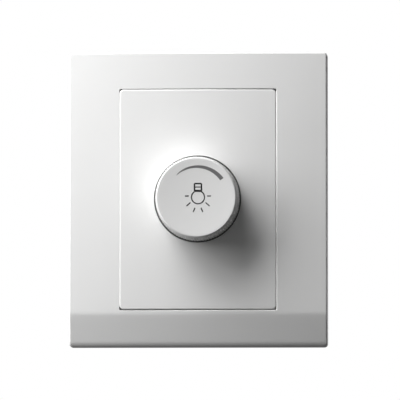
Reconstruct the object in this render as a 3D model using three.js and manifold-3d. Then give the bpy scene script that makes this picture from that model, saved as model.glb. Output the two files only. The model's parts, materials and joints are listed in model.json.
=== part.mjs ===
// A rotary wall dimmer: a push-fit knob on a potentiometer, a clip-on cover frame, a centre insert,
// a moulded base that screws to the wall box, and the housing with its electronics behind the wall.
// Millimetres. The front faces -Y, +Z is up, +X is to the right seen from the front.
// The origin is at the plate's centre on the wall plane, y = 0.
import * as THREE from 'three';
import { mergeVertices } from 'three/addons/utils/BufferGeometryUtils.js';
import Module from 'manifold-3d';

const wasm = await Module();
wasm.setup();

// ---------------------------------------------------------------- driving dimensions
const PLATE_WIDTH = 86;
const PLATE_HEIGHT = 98;
const PLATE_DEPTH = 9; // the wall plane to the top of the front's crown
const CROWN_DROP = 1.5; // how far the front falls from the middle to the left and right edges
const BAND_HEIGHT = 11; // the sloping band along the foot
const BAND_DROP = 2.6; // how far the band falls back at its lowest edge
const INSERT_WIDTH = 52;
const INSERT_HEIGHT = 73.4;
const INSERT_SINK = 0.2; // the insert's crowned face lies this far behind the plate's
const INSERT_FRONT = -PLATE_DEPTH + INSERT_SINK;
const INSERT_CORNER = 1.4;
const WINDOW_CORNER = 0.5; // sharper than the insert's, so a small dark gap is left at each corner
const KNOB_DIAMETER = 28.1; // across the base of its skirt
const KNOB_DRAFT = 0.5; // how far the skirt's side leans in towards the front
const KNOB_STAND = 11.95; // from the insert's face to the knob's
const RECESS_DEPTH = 0.8; // the knob's base sits in a shallow round recess in the insert
const SHAFT_DIAMETER = 6;
const SCREW_CENTRES = 60.3; // across the two wall screws, the usual spacing of a wall box
const HOUSING_SIDE = 49;
const HOUSING_DEPTH = 27;
const WALL = 1.8; // wall thickness of the mouldings
const GAP = 0.3; // clearance between pieces that move past each other
const REST = 0.1; // clearance between pieces that lie against each other

// ---------------------------------------------------------------- materials
function finish(color, roughness, metalness = 0) {
  return new THREE.MeshStandardMaterial({ color, roughness, metalness });
}
const FINISH = {
  cover: finish(0xf1f1ef, 0.32),
  insert: finish(0xf0f0ee, 0.34),
  knob: finish(0xeeeeec, 0.36),
  carrier: finish(0xe4e4e0, 0.5),
  housing: finish(0x2b2c2e, 0.55),
  steel: finish(0xb9bcc0, 0.35, 1),
  brass: finish(0xc9a24a, 0.35, 1),
  aluminium: finish(0xc4c7ca, 0.4, 1),
  copper: finish(0xb4652f, 0.4, 1),
  board: finish(0xb08a4a, 0.6),
  phenolic: finish(0x6b4022, 0.6),
  ferrite: finish(0x3a3a3c, 0.7),
  epoxy: finish(0x1c1c1e, 0.5),
  film: finish(0xd8b21c, 0.45),
  resistor: finish(0xd9c39a, 0.6),
  glass: finish(0xdfe8ea, 0.1),
  pad: finish(0xb9bdc4, 0.8),
};

// ---------------------------------------------------------------- closed solids
// Axes of an extruded outline: the outline's x and y, then the direction it is extruded in.
const ALONG_X = new THREE.Matrix4().makeBasis(
  new THREE.Vector3(0, 1, 0),
  new THREE.Vector3(0, 0, 1),
  new THREE.Vector3(1, 0, 0),
);
const ALONG_MINUS_Y = new THREE.Matrix4().makeBasis(
  new THREE.Vector3(1, 0, 0),
  new THREE.Vector3(0, 0, 1),
  new THREE.Vector3(0, -1, 0),
);

// A closed geometry as a solid that can be cut and joined, with its faces pointing out.
function solidOf(geometry) {
  const loose = geometry.index ? geometry.toNonIndexed() : geometry;
  const bare = new THREE.BufferGeometry();
  bare.setAttribute('position', loose.getAttribute('position'));
  const merged = mergeVertices(bare, 1e-4);
  const corners = [];
  for (let i = 0; i < merged.index.count; i += 3) {
    const [a, b, c] = merged.index.array.slice(i, i + 3);
    if (a !== b && b !== c && c !== a) corners.push(a, b, c);
  }
  const build = (triVerts) =>
    new wasm.Manifold(
      new wasm.Mesh({
        numProp: 3,
        vertProperties: merged.attributes.position.array,
        triVerts: new Uint32Array(triVerts),
      }),
    );
  const made = build(corners);
  return made.volume() > 0 ? made : build(corners.reverse());
}

function meshOf(solid) {
  const surface = solid.getMesh();
  const geometry = new THREE.BufferGeometry();
  geometry.setAttribute('position', new THREE.BufferAttribute(surface.vertProperties, 3));
  geometry.setIndex(new THREE.BufferAttribute(surface.triVerts, 1));
  geometry.computeVertexNormals();
  return geometry;
}

function join(first, ...others) {
  return others.reduce((sum, other) => sum.add(other), first);
}

function cut(first, ...others) {
  return others.reduce((rest, other) => rest.subtract(other), first);
}

function outline(points) {
  return new THREE.Shape(points.map(([x, y]) => new THREE.Vector2(x, y)));
}

function extrude(shape, depth) {
  return new THREE.ExtrudeGeometry(shape, { depth, bevelEnabled: false, curveSegments: 6 });
}

// Boxes and prisms between two stated limits on each axis.
function box([x0, x1], [y0, y1], [z0, z1]) {
  const block = new THREE.BoxGeometry(x1 - x0, y1 - y0, z1 - z0);
  block.translate((x0 + x1) / 2, (y0 + y1) / 2, (z0 + z1) / 2);
  return solidOf(block);
}

// shape lies in x and z, and runs from y0 to y1.
function prismY(shape, y0, y1) {
  return solidOf(extrude(shape, y1 - y0).applyMatrix4(ALONG_MINUS_Y).translate(0, y1, 0));
}

// shape lies in y and z, and runs from x0 to x1.
function prismX(shape, x0, x1) {
  return solidOf(extrude(shape, x1 - x0).applyMatrix4(ALONG_X).translate(x0, 0, 0));
}

// shape lies in x and y, and runs from z0 to z1.
function prismZ(shape, z0, z1) {
  return solidOf(extrude(shape, z1 - z0).translate(0, 0, z0));
}

function rectangle(width, height, corner = 0) {
  const x = width / 2;
  const y = height / 2;
  if (!corner) return outline([[-x, -y], [x, -y], [x, y], [-x, y]]);
  const shape = new THREE.Shape();
  shape.moveTo(-x + corner, -y);
  shape.lineTo(x - corner, -y);
  shape.absarc(x - corner, -y + corner, corner, -Math.PI / 2, 0);
  shape.lineTo(x, y - corner);
  shape.absarc(x - corner, y - corner, corner, 0, Math.PI / 2);
  shape.lineTo(-x + corner, y);
  shape.absarc(-x + corner, y - corner, corner, Math.PI / 2, Math.PI);
  shape.lineTo(-x, -y + corner);
  shape.absarc(-x + corner, -y + corner, corner, Math.PI, Math.PI * 1.5);
  return shape;
}

// Round solids about an axis along Y or Z. place is the axis's position on the other two axes.
function rodY(radius, [y0, y1], [x, z] = [0, 0], sides = 20) {
  const rod = new THREE.CylinderGeometry(radius, radius, y1 - y0, sides);
  return solidOf(rod.translate(x, (y0 + y1) / 2, z));
}

function rodZ(radius, [z0, z1], [x, y] = [0, 0], sides = 16) {
  const rod = new THREE.CylinderGeometry(radius, radius, z1 - z0, sides);
  return solidOf(rod.rotateX(Math.PI / 2).translate(x, y, (z0 + z1) / 2));
}

// A profile of [radius, y] points turned about the Y axis; it starts and ends on the axis.
function turned(profile, [x, z] = [0, 0], sides = 32) {
  const points = profile.map(([radius, y]) => new THREE.Vector2(radius, y));
  return solidOf(new THREE.LatheGeometry(points, sides).translate(x, 0, z));
}

function tubeY(outer, inner, [y0, y1], place = [0, 0], sides = 32) {
  const bore = rodY(inner, [y0 - 1, y1 + 1], place, sides);
  return cut(rodY(outer, [y0, y1], place, sides), bore);
}

// ---------------------------------------------------------------- the tree of pieces
const dimmer = new THREE.Group();
dimmer.name = 'rotary_dimmer';

function group(name) {
  const made = new THREE.Group();
  made.name = name;
  dimmer.add(made);
  return made;
}

function add(parent, name, solid, material) {
  const mesh = new THREE.Mesh(meshOf(solid), material);
  mesh.name = name;
  parent.add(mesh);
}

const plateGroup = group('plate');
const knobGroup = group('knob');
const baseGroup = group('base');
const controlGroup = group('potentiometer_and_switch');
const boardGroup = group('board_and_parts');
const wiringGroup = group('terminals_and_fuse');

// ---------------------------------------------------------------- cover frame
const FRAME_RIM = -REST; // the frame's rear rim, just off the wall
const SIDE_DRAFT = 0.5; // each side leans in by this much from the wall to the front
const EDGE_ROUND = 1;
const LIP_REAR = -4.9; // where the wall round the window ends, clear of the wall screws' heads
const HOOK_X = 16;
const HOOK_Z = 39.5;
const HOOK_HALF_WIDTH = 3;
const HOOK_HALF_THICKNESS = 0.8;

// Depth of the crowned front at a place x across the plate.
function crownY(x, drop = CROWN_DROP) {
  return -PLATE_DEPTH + drop * (x / (PLATE_WIDTH / 2)) ** 2;
}

// The plate's cross-section in x and y, inset from the outer surface on every side.
function plateSection(inset, rimY) {
  const halfRear = PLATE_WIDTH / 2 - inset;
  const halfFront = PLATE_WIDTH / 2 - SIDE_DRAFT - EDGE_ROUND - inset;
  const points = [[-halfRear, rimY], [halfRear, rimY]];
  const shoulder = crownY(halfFront) + inset + EDGE_ROUND;
  points.push([halfFront + EDGE_ROUND, shoulder]);
  points.push([halfFront + EDGE_ROUND * 0.7, shoulder - EDGE_ROUND * 0.7]);
  const steps = 12;
  for (let i = 0; i <= steps; i += 1) {
    const x = halfFront * (1 - (2 * i) / steps);
    points.push([x, crownY(x) + inset]);
  }
  points.push([-halfFront - EDGE_ROUND * 0.7, shoulder - EDGE_ROUND * 0.7]);
  points.push([-halfFront - EDGE_ROUND, shoulder]);
  return outline(points);
}

// The plate's side view in y and z: flat front, rounded top edge and the sloping band at the foot.
function plateSide(inset, rimY) {
  const top = PLATE_HEIGHT / 2 - inset;
  const front = -PLATE_DEPTH - 1 + inset;
  const bandTop = -PLATE_HEIGHT / 2 + BAND_HEIGHT;
  const foot = -PLATE_HEIGHT / 2 + inset;
  const bandStart = crownY(0) + inset;
  const bandEnd = bandStart + BAND_DROP;
  return outline([
    [rimY, top],
    [rimY, foot],
    [bandEnd + 0.6, foot + SIDE_DRAFT],
    [bandEnd, foot + SIDE_DRAFT + 0.6],
    [bandStart, bandTop],
    [front, bandTop],
    [front, top - SIDE_DRAFT - EDGE_ROUND],
    [bandStart, top - SIDE_DRAFT - EDGE_ROUND],
    [bandStart + EDGE_ROUND * 0.3, top - SIDE_DRAFT - EDGE_ROUND * 0.3],
    [bandStart + EDGE_ROUND, top - SIDE_DRAFT],
  ]);
}

function plateBlock(inset, rimY) {
  const half = PLATE_WIDTH / 2;
  const across = prismZ(plateSection(inset, rimY), -PLATE_HEIGHT / 2, PLATE_HEIGHT / 2);
  const along = prismX(plateSide(inset, rimY), -half, half);
  return across.intersect(along);
}

function coverFrame() {
  const window = [INSERT_WIDTH + 2 * GAP, INSERT_HEIGHT + 2 * GAP];
  const opening = prismY(rectangle(window[0], window[1], WINDOW_CORNER), -PLATE_DEPTH - 2, 1);
  const lipSize = [window[0] + 2 * WALL, window[1] + 2 * WALL];
  const lip = prismY(rectangle(lipSize[0], lipSize[1], 1.2), -PLATE_DEPTH - 2, LIP_REAR);
  const shell = cut(plateBlock(0, FRAME_RIM), plateBlock(WALL, 1));
  const walls = join(shell, plateBlock(0, FRAME_RIM).intersect(lip));
  const hooks = [-1, 1].flatMap((sx) =>
    [-1, 1].map((sz) =>
      box(
        [sx * HOOK_X - HOOK_HALF_WIDTH, sx * HOOK_X + HOOK_HALF_WIDTH],
        [-PLATE_DEPTH + WALL, -0.5],
        [sz * HOOK_Z - HOOK_HALF_THICKNESS, sz * HOOK_Z + HOOK_HALF_THICKNESS],
      ),
    ),
  );
  const halfHeight = PLATE_HEIGHT / 2;
  const notchHalf = 4; // a screwdriver's width, for prising the frame off
  const pryNotch = box([-notchHalf, notchHalf], [-1.6, 1], [-halfHeight - 1, -halfHeight + WALL + 1]);
  return cut(join(walls, ...hooks), opening, pryNotch);
}

// ---------------------------------------------------------------- base and insert
const BASE_HALF = [38, 43.5];
const BASE_THICK = 2;
const PLATFORM_FRONT = -4.6;
const PLATFORM_HALF = [24.6, 35.2];
const POCKET_HALF = 22.6; // the open back of the platform, square, over the housing
const BUSHING_RADIUS = 3.5;
const HOUSING_SCREW_PLACES = [[-15, 28.6], [15, 28.6], [-15, -28.6], [15, -28.6]];

function mountingBase() {
  const platformBack = PLATFORM_FRONT + WALL;
  const flange = prismY(rectangle(2 * BASE_HALF[0], 2 * BASE_HALF[1], 3), -BASE_THICK, 0);
  const platformShape = rectangle(2 * PLATFORM_HALF[0], 2 * PLATFORM_HALF[1], 1);
  const platform = prismY(platformShape, PLATFORM_FRONT, -BASE_THICK / 2);
  const pocketShape = rectangle(2 * POCKET_HALF, 2 * POCKET_HALF, 2);
  const cutters = [
    prismY(pocketShape, platformBack, 1),
    rodY(BUSHING_RADIUS + REST, [PLATFORM_FRONT - 1, 1], [0, 0], 24),
  ];
  for (const side of [-1, 1]) {
    const slotX = (side * SCREW_CENTRES) / 2;
    cutters.push(prismY(slotShape(slotX, 0, 2.3, 1.6), -BASE_THICK - 1, 1));
    const half = [HOOK_HALF_WIDTH + 0.6, HOOK_HALF_THICKNESS + 0.6];
    for (const sx of [-HOOK_X, HOOK_X]) {
      const z = side * HOOK_Z;
      cutters.push(
        box([sx - half[0], sx + half[0]], [-BASE_THICK - 1, 1], [z - half[1], z + half[1]]),
      );
    }
  }
  for (const place of HOUSING_SCREW_PLACES) cutters.push(rodY(1.35, [-3.6, 1], place, 12));
  const ribs = [-1, 1].map((side) =>
    cut(
      prismY(rectangle(2 * BASE_HALF[0], 2 * BASE_HALF[1], 3), -BASE_THICK - 1.2, -BASE_THICK),
      prismY(rectangle(2 * BASE_HALF[0] - 3, 2 * BASE_HALF[1] - 3, 2), -10, 1),
      box([-50, 50], [-10, 1], side > 0 ? [-50, 10] : [-10, 50]),
    ),
  );
  return cut(join(flange, platform, ...ribs), ...cutters);
}

// A slot with round ends, lengthened along x, centred at (x, z).
function slotShape(x, z, radius, reach) {
  const shape = new THREE.Shape();
  shape.absarc(x + reach, z, radius, -Math.PI / 2, Math.PI / 2);
  shape.absarc(x - reach, z, radius, Math.PI / 2, Math.PI * 1.5);
  return shape;
}

// The insert's cross-section in x and y: crowned like the plate in front, flat behind.
function insertSection(thick) {
  const half = INSERT_WIDTH / 2;
  const points = [[-half, INSERT_FRONT + thick], [half, INSERT_FRONT + thick]];
  const steps = 12;
  for (let i = 0; i <= steps; i += 1) {
    const x = half * (1 - (2 * i) / steps);
    points.push([x, crownY(x) + INSERT_SINK]);
  }
  return outline(points);
}

function insertPanel() {
  const thick = 2;
  const outer = rectangle(INSERT_WIDTH, INSERT_HEIGHT, INSERT_CORNER);
  const crowned = prismZ(insertSection(thick), -INSERT_HEIGHT / 2, INSERT_HEIGHT / 2);
  const plate = prismY(outer, INSERT_FRONT - 1, INSERT_FRONT + thick).intersect(crowned);
  const rimOuter = rectangle(2 * PLATFORM_HALF[0], 2 * PLATFORM_HALF[1], 1);
  const rimInner = rectangle(2 * PLATFORM_HALF[0] - 3, 2 * PLATFORM_HALF[1] - 3, 1);
  const rim = cut(
    prismY(rimOuter, INSERT_FRONT + thick / 2, PLATFORM_FRONT - REST),
    prismY(rimInner, -20, 1),
  );
  const recessRadius = KNOB_DIAMETER / 2 + GAP;
  const recess = rodY(recessRadius, [INSERT_FRONT - 1, INSERT_FRONT + RECESS_DEPTH], [0, 0], 64);
  return cut(join(plate, rim), recess, rodY(6.6, [-20, 1], [0, 0], 32));
}

// ---------------------------------------------------------------- housing and fasteners
const EAR_THICK = 2.4;
const TERMINAL_X = 9;
const TERMINAL_Z = -15.5;
const ENTRY_HALF = 3; // half the side of each square wire entry
const TERMINAL_SCREW_Y = 17.4;
const TERMINAL_BACK = 20.4;
const POST_PLACE = 18.9; // the board's corner posts, on both axes
const BOARD_SCREW_PLACES = [[-POST_PLACE, POST_PLACE], [POST_PLACE, -POST_PLACE]];
const BOARD_FRONT = 12.2;
const BOARD_THICK = 1.6;

function rearHousing() {
  const half = HOUSING_SIDE / 2;
  const inner = half - WALL;
  const shell = cut(
    prismY(rectangle(2 * half, 2 * half, 2.5), REST, HOUSING_DEPTH),
    prismY(rectangle(2 * inner, 2 * inner, 1), -1, HOUSING_DEPTH - WALL),
  );
  const additions = HOUSING_SCREW_PLACES.map(([x, z]) => {
    const toWall = Math.sign(z) * (half - 1);
    const ear = box([x - 3.6, x + 3.6], [REST, REST + EAR_THICK], [toWall, z].sort((a, b) => a - b));
    return join(rodY(3.6, [REST, REST + EAR_THICK], [x, z], 20), ear);
  });
  for (const x of [-POST_PLACE, POST_PLACE]) {
    for (const z of [-POST_PLACE, POST_PLACE]) {
      const post = rodY(2.6, [BOARD_FRONT + BOARD_THICK + REST, HOUSING_DEPTH - 1], [x, z], 16);
      additions.push(post);
    }
  }
  for (const x of [-TERMINAL_X, TERMINAL_X]) {
    const outer = ENTRY_HALF + 1.2;
    additions.push(
      box(
        [x - outer, x + outer],
        [TERMINAL_BACK + 0.5, HOUSING_DEPTH - 1],
        [TERMINAL_Z - outer, TERMINAL_Z + outer],
      ),
    );
  }
  const cutters = [];
  for (const x of [-TERMINAL_X, TERMINAL_X]) {
    cutters.push(
      box(
        [x - ENTRY_HALF, x + ENTRY_HALF],
        [TERMINAL_BACK, HOUSING_DEPTH + 1],
        [TERMINAL_Z - ENTRY_HALF, TERMINAL_Z + ENTRY_HALF],
      ),
    );
    cutters.push(rodZ(3.2, [-half - 1, -half + WALL + 1], [x, TERMINAL_SCREW_Y], 16));
  }
  for (let i = -3; i <= 3; i += 1) {
    const x = i * 5;
    cutters.push(box([x - 0.9, x + 0.9], [15, 24], [half - WALL - 1, half + 1]));
    if (Math.abs(i) < 3) cutters.push(box([x - 0.9, x + 0.9], [HOUSING_DEPTH - 3, 28], [-6, 12]));
  }
  for (const place of HOUSING_SCREW_PLACES) cutters.push(rodY(1.6, [-1, 6], place, 12));
  for (const place of BOARD_SCREW_PLACES) cutters.push(rodY(1.1, [12, 21], place, 10));
  return cut(join(shell, ...additions), ...cutters);
}

// A screw along Y: threaded core, pan head and a cross recess. point and seat are y places.
function screwY(core, head, headHeight, point, seat, place) {
  const outward = Math.sign(seat - point);
  const shank = rodY(core, [Math.min(point, seat), Math.max(point, seat)], place, 12);
  const top = seat + outward * headHeight;
  const cap = rodY(head, [Math.min(seat, top), Math.max(seat, top)], place, 18);
  const deep = top - outward * headHeight * 0.6;
  const reach = [Math.min(deep, top + outward), Math.max(deep, top + outward)];
  const [x, z] = place;
  const arm = head * 0.55;
  const slit = head * 0.13;
  return cut(
    join(shank, cap),
    box([x - arm, x + arm], reach, [z - slit, z + slit]),
    box([x - slit, x + slit], reach, [z - arm, z + arm]),
  );
}

// ---------------------------------------------------------------- knob
const KNOB_BACK = INSERT_FRONT + RECESS_DEPTH - 0.35;
const KNOB_FRONT = INSERT_FRONT - KNOB_STAND;
const CAP_FLANGE = 1; // thickness of the cap's edge, which lies on the front of the skirt
const SKIRT_FRONT = KNOB_FRONT + CAP_FLANGE + REST;
const SERRATIONS = 96;
const SERRATION_DEPTH = 0.3;
const CAP_RADIUS = KNOB_DIAMETER / 2 - KNOB_DRAFT - SERRATION_DEPTH;
const CAP_PLUG = CAP_RADIUS - 1.2; // radius of the part of the cap that sits in the skirt
const CAP_THICK = 2.2;
const CAP_RIM = 1; // width of the cap's raised, rounded rim
const DISH_DEPTH = 0.9; // how far the cap's face is hollowed inside its rim
const HUB_RADIUS = 4.9;
const CLIP_Y = [-13.2, -11.6]; // the spring ring that grips the hub round the shaft
const SHAFT_TIP = KNOB_FRONT + 4.4;
const SHAFT_FLAT = 1.5; // from the axis to the flat of the D-shaped end
const FLAT_END = -9; // where the shaft's flat stops, just outside the bushing

// A circle with a fine saw-tooth edge, in x and z.
function serratedCircle(radius, depth) {
  const points = [];
  for (let i = 0; i < 2 * SERRATIONS; i += 1) {
    const angle = (Math.PI * i) / SERRATIONS;
    const r = i % 2 ? radius - depth : radius;
    points.push([r * Math.cos(angle), r * Math.sin(angle)]);
  }
  return outline(points);
}

// The serrated skirt: full size at its base, narrower by KNOB_DRAFT on every side at the front.
function taperedSkirt(radius) {
  const depth = KNOB_BACK - SKIRT_FRONT;
  const prism = extrude(serratedCircle(radius, SERRATION_DEPTH), depth);
  const points = prism.getAttribute('position');
  for (let i = 0; i < points.count; i += 1) {
    const share = 1 - ((KNOB_DRAFT / radius) * points.getZ(i)) / depth;
    points.setXY(i, points.getX(i) * share, points.getY(i) * share);
  }
  return solidOf(prism.applyMatrix4(ALONG_MINUS_Y).translate(0, KNOB_BACK, 0));
}

// The round shaft with one flat, in x and z, made larger all round by clearance.
function shaftShape(clearance = 0) {
  const radius = SHAFT_DIAMETER / 2 + clearance;
  const flat = SHAFT_FLAT + clearance;
  const reach = Math.acos(flat / radius);
  const shape = new THREE.Shape();
  shape.absarc(0, 0, radius, Math.PI / 2 + reach, Math.PI / 2 - reach + 2 * Math.PI, false);
  return shape;
}

function knobBody() {
  const skirt = taperedSkirt(KNOB_DIAMETER / 2);
  const seatY = KNOB_FRONT + CAP_THICK + REST;
  const roof = seatY + 1.4;
  const hollow = rodY(CAP_PLUG - REST, [roof, 1], [0, 0], 40);
  const hub = rodY(HUB_RADIUS, [roof - 1, FLAT_END - 2 * REST], [0, 0], 28);
  const seat = rodY(CAP_PLUG + REST, [KNOB_FRONT - 1, seatY], [0, 0], 48);
  const bore = prismY(shaftShape(REST), SHAFT_TIP - 0.5, 1);
  const grooveY = [CLIP_Y[0] - 0.2, CLIP_Y[1] + 0.2];
  const clipGroove = tubeY(HUB_RADIUS + 1, HUB_RADIUS - 1, grooveY, [0, 0], 28);
  return cut(join(cut(skirt, hollow), hub), seat, bore, clipGroove);
}

function knobCap() {
  const crest = CAP_RADIUS - CAP_RIM;
  const profile = [
    [0, KNOB_FRONT + CAP_THICK],
    [CAP_PLUG, KNOB_FRONT + CAP_THICK],
    [CAP_PLUG, KNOB_FRONT + CAP_FLANGE],
    [CAP_RADIUS, KNOB_FRONT + CAP_FLANGE],
    [CAP_RADIUS, KNOB_FRONT + 0.5],
    [CAP_RADIUS - 0.2, KNOB_FRONT + 0.15],
    [crest, KNOB_FRONT],
  ];
  for (const share of [0.75, 0.5, 0.25, 0]) {
    profile.push([crest * share, KNOB_FRONT + DISH_DEPTH * (1 - share ** 2)]);
  }
  return turned(profile, [0, 0], 48);
}

function knobClip() {
  const ring = tubeY(HUB_RADIUS - 0.2, HUB_RADIUS - 0.9, CLIP_Y, [0, 0], 28);
  const slit = box([-1, 1], [CLIP_Y[0] - 1, CLIP_Y[1] + 1], [0, 2 * HUB_RADIUS]);
  return cut(ring, slit);
}

// ---------------------------------------------------------------- potentiometer and switch
const POT_RADIUS = 8.2;
const POT_FRONT = PLATFORM_FRONT + WALL + REST;
const POT_BACK = 4.4;
const SWITCH_BACK = 11;
const BUSHING_FRONT = -8.4;
const CONTACT_X = [-3, 3];
const CONTACT_Z = -5.4;
const CONTACT_FACE = 9.5; // where the bridge meets the switch terminals

function potCase() {
  return turned(
    [
      [BUSHING_RADIUS + REST, POT_FRONT],
      [POT_RADIUS, POT_FRONT],
      [POT_RADIUS, POT_BACK],
      [POT_RADIUS - 0.7, POT_BACK],
      [POT_RADIUS - 0.7, POT_FRONT + 0.7],
      [BUSHING_RADIUS + REST, POT_FRONT + 0.7],
      [BUSHING_RADIUS + REST, POT_FRONT],
    ],
    [0, 0],
    32,
  );
}

function potBushing() {
  return tubeY(BUSHING_RADIUS, SHAFT_DIAMETER / 2 + 0.06, [BUSHING_FRONT, POT_FRONT + 1], [0, 0], 28);
}

function potWasher() {
  const y1 = PLATFORM_FRONT - REST;
  return tubeY(5.6, BUSHING_RADIUS + REST, [y1 - 0.5, y1], [0, 0], 24);
}

function potNut() {
  const hexagon = [];
  for (let i = 0; i < 6; i += 1) {
    const angle = (Math.PI * i) / 3;
    hexagon.push([5.7 * Math.cos(angle), 5.7 * Math.sin(angle)]);
  }
  const y0 = PLATFORM_FRONT - 2.6;
  const bore = rodY(BUSHING_RADIUS + REST, [y0 - 1, 0], [0, 0], 24);
  return cut(prismY(outline(hexagon), y0, PLATFORM_FRONT - 0.7), bore);
}

function potShaft() {
  const flatPart = prismY(shaftShape(), SHAFT_TIP, FLAT_END);
  const roundPart = rodY(SHAFT_DIAMETER / 2, [FLAT_END, -0.2], [0, 0], 28);
  const tail = rodY(1.6, [-0.3, SWITCH_BACK - 2.2], [0, 0], 16);
  return join(flatPart, roundPart, tail);
}

function switchCase() {
  const cup = cut(
    rodY(POT_RADIUS, [POT_BACK + REST, SWITCH_BACK], [0, 0], 32),
    rodY(POT_RADIUS - 0.9, [POT_BACK + 1, SWITCH_BACK - 1], [0, 0], 32),
    rodY(2, [POT_BACK - 1, POT_BACK + 2], [0, 0], 16),
  );
  const vents = [-1, 1].map((side) =>
    box([side * 4.2 - 0.7, side * 4.2 + 0.7], [SWITCH_BACK - 2, SWITCH_BACK + 1], [3.2, 6]),
  );
  const terminalSlots = CONTACT_X.map((x) =>
    box([x - 0.6, x + 0.6], [SWITCH_BACK - 2, SWITCH_BACK + 1], [CONTACT_Z - 0.8, CONTACT_Z + 0.8]),
  );
  return cut(cup, ...vents, ...terminalSlots);
}

// A brass arc that slides on the resistor track.
function wiperContact() {
  return cut(tubeY(6.2, 4.4, [-0.1, 1.2], [0, 0], 24), box([-7, 7], [-1, 2], [-7, 2]));
}

// The cam's nose pushes the bridge when the shaft reaches the off end of its turn.
function switchCam() {
  const disc = tubeY(3, 1.7, [5.9, 7.3], [0, 0], 24);
  const nose = box([-0.7, 0.7], [5.9, 7.3], [2.6, 4.2]);
  return join(disc, nose);
}

// The bridge closes the two switch terminals, and the cam pushes it off them.
function switchBridge() {
  const [y0, y1] = [7.8, 8.6];
  const arm = box([-4, 4], [y0, y1], [CONTACT_Z - 0.5, CONTACT_Z + 0.5]);
  const pads = CONTACT_X.map((x) => rodY(0.8, [y0, CONTACT_FACE - 0.05], [x, CONTACT_Z], 10));
  return join(arm, ...pads);
}

function switchTerminal(x) {
  return box([x - 0.5, x + 0.5], [CONTACT_FACE, 14.6], [CONTACT_Z - 0.5, CONTACT_Z + 0.5]);
}

// ---------------------------------------------------------------- board and its parts
const BOARD_HALF = 21.6;
const BOARD_BACK = BOARD_FRONT + BOARD_THICK;
const PART_SEAT = BOARD_BACK + REST; // parts on the back of the board stand here
const HEAT_SINK_Z = 18.6;
const SINK_Y = [14.2, 24.8];
const SINK_SCREW_Y = 22.2;
const LEAD_X = [-2.54, 0, 2.54];
const LEAD_Z = -9.6;
const TRIAC_Z = HEAT_SINK_Z - 2.7;
const CHOKE_PLACE = [2.2, 19.4];

function circuitBoard() {
  const blank = prismY(rectangle(2 * BOARD_HALF, 2 * BOARD_HALF, 1), BOARD_FRONT, BOARD_BACK);
  const holes = [];
  for (const x of [-POST_PLACE, POST_PLACE]) {
    for (const z of [-POST_PLACE, POST_PLACE]) {
      holes.push(rodY(1.5, [BOARD_FRONT - 1, BOARD_BACK + 1], [x, z], 12));
    }
  }
  for (const x of LEAD_X) {
    holes.push(box([x - 0.6, x + 0.6], [12, 14], [LEAD_Z - 0.6, LEAD_Z + 0.6]));
    holes.push(box([x - 0.6, x + 0.6], [12, 14], [TRIAC_Z - 0.6, TRIAC_Z + 0.6]));
  }
  for (const side of [-1, 1]) {
    holes.push(box([side * 3 - 0.9, side * 3 + 0.9], [12, 14], [CONTACT_Z - 1.2, CONTACT_Z + 1.2]));
    holes.push(box([side * TERMINAL_X - 1.4, side * TERMINAL_X + 1.4], [12, 14], [-13, -11.6]));
  }
  return cut(blank, ...holes);
}

function potLead(x) {
  const pin = box([x - 0.4, x + 0.4], [0.4, 15], [LEAD_Z - 0.2, LEAD_Z + 0.2]);
  const tab = box([x - 0.4, x + 0.4], [0.4, 0.8], [LEAD_Z - 0.2, -POT_RADIUS - REST]);
  return join(pin, tab);
}

function heatSink() {
  const half = 14.5;
  const plate = box([-half, half], SINK_Y, [HEAT_SINK_Z, HEAT_SINK_Z + 1.4]);
  const fins = [-3, -2, -1, 1, 2, 3].map((i) => {
    const x = (i * (half - 0.7)) / 3;
    return box([x - 0.5, x + 0.5], SINK_Y, [HEAT_SINK_Z + 1, HEAT_SINK_Z + 3.6]);
  });
  const bore = rodZ(1.4, [HEAT_SINK_Z - 1, HEAT_SINK_Z + 5], [0, SINK_SCREW_Y], 12);
  return cut(join(plate, ...fins), bore);
}

function insulatingPad() {
  const sheet = box([-5.6, 5.6], [14.6, 24.7], [HEAT_SINK_Z - 0.4, HEAT_SINK_Z - REST]);
  return cut(sheet, rodZ(1.7, [HEAT_SINK_Z - 3, HEAT_SINK_Z + 1], [0, SINK_SCREW_Y], 12));
}

function triacBody() {
  const block = box([-5, 5], [15.2, 24.6], [HEAT_SINK_Z - 5, HEAT_SINK_Z - 0.5]);
  return cut(block, rodZ(1.7, [HEAT_SINK_Z - 7, HEAT_SINK_Z + 1], [0, SINK_SCREW_Y], 16));
}

function triacLead(x) {
  return box([x - 0.4, x + 0.4], [BOARD_FRONT - 0.6, 15.1], [TRIAC_Z - 0.25, TRIAC_Z + 0.25]);
}

function triacScrew() {
  const seat = HEAT_SINK_Z - 5.1;
  const shank = rodZ(1.3, [seat, HEAT_SINK_Z + 3.4], [0, SINK_SCREW_Y], 12);
  return join(shank, rodZ(2.4, [seat - 1.5, seat], [0, SINK_SCREW_Y], 16));
}

// A part with wire ends: body along Z on the front of the board, ends bent down into it.
function axialPart(x, z, radius, halfBody, halfSpan) {
  const y = BOARD_FRONT - 1.6;
  const body = rodZ(radius, [z - halfBody, z + halfBody], [x, y], 14);
  const wire = rodZ(0.32, [z - halfSpan, z + halfSpan], [x, y], 8);
  const legs = [-halfSpan, halfSpan].map((end) => rodY(0.34, [y - 0.3, BOARD_FRONT], [x, z + end], 8));
  return join(body, wire, ...legs);
}

function chokeWinding() {
  const bore = rodZ(3.1, [-6, 13], CHOKE_PLACE, 20);
  return cut(rodZ(5, [-3, 10], CHOKE_PLACE, 24), bore);
}

// ---------------------------------------------------------------- fuse and terminals
const FUSE_X = 13.6;
const FUSE_Y = 18.2;
const FUSE_CLIP_Z = [-4, 10];
const FUSE_CAP_HALF = 2;

function fuseTube() {
  const reach = FUSE_CAP_HALF + REST;
  return rodZ(2.3, [FUSE_CLIP_Z[0] + reach, FUSE_CLIP_Z[1] - reach], [FUSE_X, FUSE_Y], 20);
}

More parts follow.
